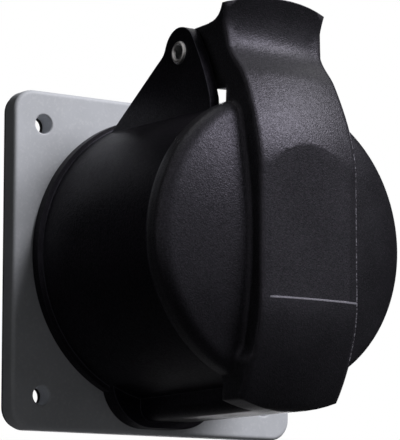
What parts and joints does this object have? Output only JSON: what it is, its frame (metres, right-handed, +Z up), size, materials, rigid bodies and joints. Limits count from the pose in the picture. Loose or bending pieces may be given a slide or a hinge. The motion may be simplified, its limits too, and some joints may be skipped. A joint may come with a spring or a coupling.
{
  "type": "industrial panel socket",
  "caption": "Square flanged panel socket outlet for power plugs, with a round collar, keyway, recessed pin contacts and a sprung hinged lid with thumb tab.",
  "frame": {"origin": "middle of the four fixing holes, on the rear face of the gasket where it meets the panel", "axes": "+Y into the panel, -Y out of it towards the lid, +Z up with the hinge at the top, +X to the right seen from the front"},
  "size_m": [0.075, 0.0814, 0.0906],
  "materials": {
    "grey_plastic": "fine matt moulded",
    "black_plastic": "fine spark-eroded grain",
    "insulator": "smooth moulded",
    "rubber": "matt",
    "brass": "turned, nickel free",
    "steel": "zinc plated"
  },
  "bodies": {
    "socket": {"flange_plate": "grey_plastic", "panel_gasket": "rubber", "collar": "black_plastic", "collar_seal": "rubber", "contact_carrier": "insulator", "carrier_seal": "rubber", "lock_ring": "steel", "terminal_block": "insulator", "contact_l1": "brass", "contact_l2": "brass", "contact_l3": "brass", "contact_earth": "brass", "phase_clip_rings": "steel", "earth_clip_ring": "steel", "terminal_screws": "steel", "block_screws": "steel", "hinge_pin": "steel", "hinge_spring": "steel"},
    "lid": {"lid": "black_plastic", "lid_seal": "rubber"}
  },
  "joints": [
    {"name": "lid_hinge", "type": "hinge", "parent": "socket", "child": "lid", "pos_m": [0, -0.0363, 0.0425], "axis": [-1, 0, 0], "range_deg": [0, 115], "stiffness_Nm_per_rad": 0.08, "springref_deg": -68.75, "deforming": ["hinge_spring"]}
  ]
}
